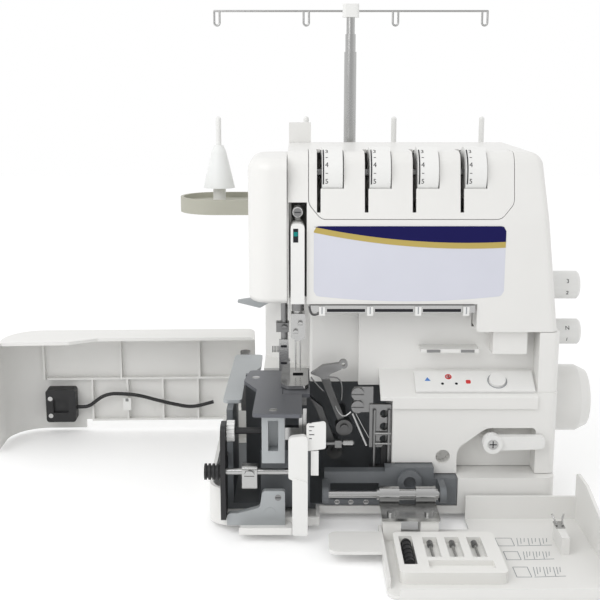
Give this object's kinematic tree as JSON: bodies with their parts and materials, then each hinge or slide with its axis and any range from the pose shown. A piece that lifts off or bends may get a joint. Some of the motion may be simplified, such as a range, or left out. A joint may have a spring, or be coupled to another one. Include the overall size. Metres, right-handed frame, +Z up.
{
  "type": "serger overlock machine",
  "caption": "Overlock sewing machine with open side and front covers, tension dials, loopers, thread stand and handwheel.",
  "frame": {"origin": "bottom centre of the box around the whole machine with both covers open, on the table", "axes": "+X to the handwheel side, +Y to the back, +Z up"},
  "size_m": [0.547, 0.3735, 0.425],
  "materials": {
    "white_casing": "moulded satin",
    "white_trim": "moulded satin",
    "frosted_white": "frosted",
    "tray_beige": "fine grain",
    "cast_grey": "cast",
    "light_cast": "cast",
    "dark_plate": "dark plated",
    "bright_steel": "polished",
    "steel": "ground",
    "black_plastic": "fine grain",
    "rubber": "matt"
  },
  "bodies": {
    "root": {"base_tray": "white_casing", "rubber_feet": "rubber", "bed_casting": "cast_grey", "lower_guard": "light_cast", "inner_plate": "light_cast", "plate_carrier": "light_cast", "cloth_plate": "dark_plate", "needle_plate": "dark_plate", "front_casing": "white_casing", "rear_casing": "white_casing", "power_inlet": "black_plastic", "head_casing": "white_casing", "tension_panel": "white_casing", "head_fittings": "steel", "face_cover": "white_casing", "take_up_cover": "white_trim", "thread_guide_bar": "bright_steel", "looper_guides": "steel", "knife_bracket": "black_plastic", "knife_guard": "white_trim", "motor": "steel", "drive_belt": "rubber", "threading_panel": "white_trim", "spool_tray": "tray_beige", "spool_pins": "white_trim", "cone_holders": "frosted_white", "pole_outer": "bright_steel", "side_hinge_bracket": "steel", "bed_hardware": "bright_steel"},
    "handwheel": {"handwheel": "white_casing", "main_shaft": "steel"},
    "motor_pulley": {"motor_pulley": "black_plastic"},
    "needle_bar": {"needle_bar": "bright_steel"},
    "presser": {"presser_bar": "steel", "presser_foot": "bright_steel"},
    "presser_lifter": {"presser_lifter": "light_cast"},
    "lower_looper": {"lower_looper": "bright_steel"},
    "upper_looper": {"upper_looper": "bright_steel"},
    "upper_knife": {"upper_knife": "bright_steel"},
    "feed_dogs": {"feed_dogs": "steel"},
    "length_dial": {"length_dial": "white_trim"},
    "differential_dial": {"differential_dial": "white_trim"},
    "width_dial": {"width_dial": "white_trim"},
    "selector_lever": {"selector_lever": "white_trim"},
    "air_button": {"air_button": "white_trim"},
    "side_cover": {"side_cover": "white_casing", "cable_switch": "black_plastic", "side_cable": "black_plastic"},
    "cover_carriage": {"hinge_sleeve": "bright_steel"},
    "front_cover": {"front_cover": "white_casing", "cover_hinge_plate": "bright_steel", "accessory_tray": "white_trim"},
    "pole_middle": {"pole_middle": "bright_steel"},
    "pole_inner": {"pole_inner": "bright_steel", "guide_bracket": "white_trim", "guide_wires": "bright_steel"},
    "tension_dial_1": {"tension_dial_1": "white_trim"},
    "tension_dial_2": {"tension_dial_2": "white_trim"},
    "tension_dial_3": {"tension_dial_3": "white_trim"},
    "tension_dial_4": {"tension_dial_4": "white_trim"}
  },
  "joints": [
    {"name": "handwheel_spin", "type": "hinge", "parent": "root", "child": "handwheel", "pos_m": [0.2391, 0.0267, 0.083], "axis": [1, 0, 0], "continuous": true},
    {"name": "motor_pulley_spin", "type": "hinge", "parent": "root", "child": "motor_pulley", "pos_m": [0.1931, 0.0707, 0.046], "axis": [1, 0, 0], "continuous": true},
    {"name": "needle_stroke", "type": "slide", "parent": "root", "child": "needle_bar", "axis": [0, 0, 1], "range_m": [-0.022, 0]},
    {"name": "upper_looper_swing", "type": "hinge", "parent": "root", "child": "upper_looper", "pos_m": [0.0621, -0.0193, 0.072], "axis": [0, 1, 0], "range_deg": [0, 8]},
    {"name": "lower_looper_swing", "type": "hinge", "parent": "root", "child": "lower_looper", "pos_m": [0.0551, 0.0007, 0.044], "axis": [0, 1, 0], "range_deg": [0, 8]},
    {"name": "upper_knife_swing", "type": "hinge", "parent": "root", "child": "upper_knife", "pos_m": [0.0251, -0.0733, 0.052], "axis": [1, 0, 0], "range_deg": [-6, 0]},
    {"name": "feed_travel", "type": "slide", "parent": "root", "child": "feed_dogs", "axis": [0, 1, 0], "range_m": [0, 0.002]},
    {"name": "lifter_swing", "type": "hinge", "parent": "root", "child": "presser_lifter", "pos_m": [0.0031, 0.0597, 0.172], "axis": [0, 1, 0], "range_deg": [0, 25]},
    {"name": "presser_lift", "type": "slide", "parent": "root", "child": "presser", "axis": [0, 0, 1], "range_m": [0, 0.006]},
    {"name": "tension_dial_1_turn", "type": "hinge", "parent": "root", "child": "tension_dial_1", "pos_m": [0.0507, -0.0103, 0.2835], "axis": [1, 0, 0], "range_deg": [-130, 130]},
    {"name": "tension_dial_2_turn", "type": "hinge", "parent": "root", "child": "tension_dial_2", "pos_m": [0.0887, -0.0103, 0.2835], "axis": [1, 0, 0], "range_deg": [-130, 130]},
    {"name": "tension_dial_3_turn", "type": "hinge", "parent": "root", "child": "tension_dial_3", "pos_m": [0.1267, -0.0103, 0.2835], "axis": [1, 0, 0], "range_deg": [-130, 130]},
    {"name": "tension_dial_4_turn", "type": "hinge", "parent": "root", "child": "tension_dial_4", "pos_m": [0.1647, -0.0103, 0.2835], "axis": [1, 0, 0], "range_deg": [-130, 130]},
    {"name": "length_dial_turn", "type": "hinge", "parent": "root", "child": "length_dial", "pos_m": [0.2631, 0.0217, 0.185], "axis": [1, 0, 0], "range_deg": [-120, 120]},
    {"name": "differential_dial_turn", "type": "hinge", "parent": "root", "child": "differential_dial", "pos_m": [0.2661, 0.0217, 0.144], "axis": [1, 0, 0], "range_deg": [-120, 120]},
    {"name": "width_dial_turn", "type": "hinge", "parent": "root", "child": "width_dial", "pos_m": [-0.0379, -0.0613, 0.082], "axis": [1, 0, 0], "range_deg": [-90, 90]},
    {"name": "selector_lever_swing", "type": "hinge", "parent": "root", "child": "selector_lever", "pos_m": [0.1831, -0.0373, 0.065], "axis": [0, 1, 0], "range_deg": [-25, 0]},
    {"name": "air_button_press", "type": "slide", "parent": "root", "child": "air_button", "axis": [0, -0.5472, 0.837], "range_m": [-0.0015, 0], "stiffness_N_per_m": 300},
    {"name": "side_cover_swing", "type": "hinge", "parent": "root", "child": "side_cover", "pos_m": [-0.0289, 0.1437, 0], "axis": [0, 0, 1], "range_deg": [0, 88]},
    {"name": "front_cover_slide", "type": "slide", "parent": "root", "child": "cover_carriage", "axis": [1, 0, 0], "range_m": [-0.012, 0]},
    {"name": "front_cover_fold", "type": "hinge", "parent": "cover_carriage", "child": "front_cover", "pos_m": [0.1251, -0.0633, 0.0286], "axis": [1, 0, 0], "range_deg": [-90, 0]},
    {"name": "pole_middle_slide", "type": "slide", "parent": "root", "child": "pole_middle", "axis": [0, 0, 1], "range_m": [0, 0.1]},
    {"name": "pole_inner_slide", "type": "slide", "parent": "pole_middle", "child": "pole_inner", "axis": [0, 0, 1], "range_m": [0, 0.1]}
  ],
  "couplings": [
    {"joint": "motor_pulley_spin", "follows": "handwheel_spin", "ratio": 3.375},
    {"joint": "upper_looper_swing", "follows": "needle_stroke", "rad_per_m": -6.3435},
    {"joint": "lower_looper_swing", "follows": "needle_stroke", "rad_per_m": -6.3435},
    {"joint": "upper_knife_swing", "follows": "needle_stroke", "rad_per_m": 4.7576},
    {"joint": "feed_travel", "follows": "needle_stroke", "ratio": -0.090864},
    {"joint": "lifter_swing", "follows": "presser_lift", "rad_per_m": 72.686}
  ]
}
